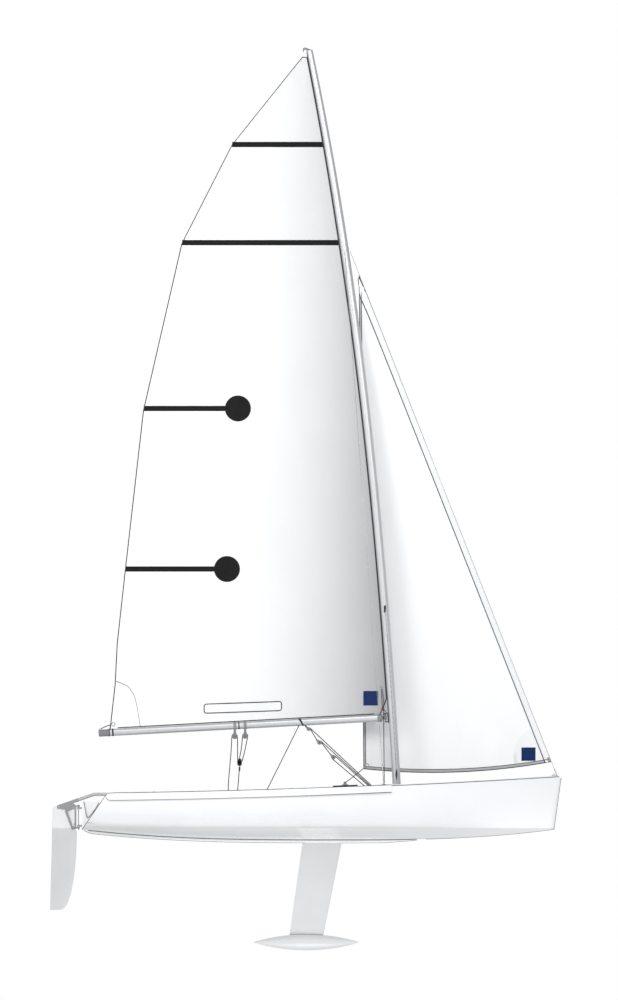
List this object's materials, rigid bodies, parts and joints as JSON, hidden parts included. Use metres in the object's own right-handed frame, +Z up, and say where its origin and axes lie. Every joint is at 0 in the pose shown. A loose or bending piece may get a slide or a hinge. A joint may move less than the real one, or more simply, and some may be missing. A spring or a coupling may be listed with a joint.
{
  "type": "sailing dinghy with a ballast keel",
  "caption": "Decked sailing dinghy afloat: open-transom hull, fin keel with bulb, kick-up rudder with tiller, bent mast, boom, mainsail and jib.",
  "frame": {"origin": "on the waterline, on the centreline, at the middle of the hull's length", "axes": "+X towards the bow, +Y to port, +Z up along the mast"},
  "size_m": [4.951, 1.9236, 8.741],
  "materials": {
    "gelcoat": "gloss",
    "foil_paint": "satin",
    "spar": "anodised",
    "stainless": "satin",
    "black_fitting": "matte",
    "webbing": "woven",
    "sailcloth": "smooth"
  },
  "bodies": {
    "hull": {"hull": "gelcoat", "deck": "gelcoat", "gunwale_port": "gelcoat", "gunwale_starboard": "gelcoat", "keel_band": "gelcoat", "keel_fin": "foil_paint", "keel_bulb": "foil_paint", "keel_console": "gelcoat", "lifting_eye": "stainless", "mast_step": "black_fitting", "mast": "spar", "masthead_crane": "black_fitting", "hounds_tangs": "stainless", "forestay": "stainless", "shroud_port": "stainless", "shroud_starboard": "stainless", "chainplate_port": "stainless", "chainplate_starboard": "stainless", "bow_fitting": "stainless", "gooseneck_bracket": "black_fitting", "stern_gantry": "gelcoat", "gudgeons": "stainless", "mainsheet_base": "black_fitting", "jib_fairlead_port": "black_fitting", "jib_fairlead_starboard": "black_fitting", "toe_strap_port": "webbing", "toe_strap_starboard": "webbing", "bulkhead_hatch": "black_fitting"},
    "rudder": {"rudder_stock": "spar", "pintle_rod": "stainless", "tiller": "spar", "tiller_extension": "black_fitting", "blade_bolt": "stainless"},
    "blade": {"rudder_blade": "foil_paint"},
    "boom": {"boom": "spar", "boom_toggle": "black_fitting", "boom_end_cap": "black_fitting", "mainsail": "sailcloth"},
    "jib": {"jib": "sailcloth"}
  },
  "joints": [
    {"name": "rudder_turn", "type": "hinge", "parent": "hull", "child": "rudder", "pos_m": [-2.354, 0, 0.1], "axis": [0, 0, 1], "range_deg": [-40, 40]},
    {"name": "blade_kick_up", "type": "hinge", "parent": "rudder", "child": "blade", "pos_m": [-2.545, 0, 0.206], "axis": [0, 1, 0], "range_deg": [0, 75]},
    {"name": "boom_swing", "type": "hinge", "parent": "hull", "child": "boom", "pos_m": [0.61647, 0, 1.068], "axis": [0.1171, 0, -0.9931], "range_deg": [-78, 78], "deforming": ["mainsail"]},
    {"name": "jib_swing", "type": "hinge", "parent": "hull", "child": "jib", "pos_m": [2.273, 0, 0.51733], "axis": [0.367, 0, -0.9302], "range_deg": [0, 45], "deforming": ["jib"]}
  ]
}
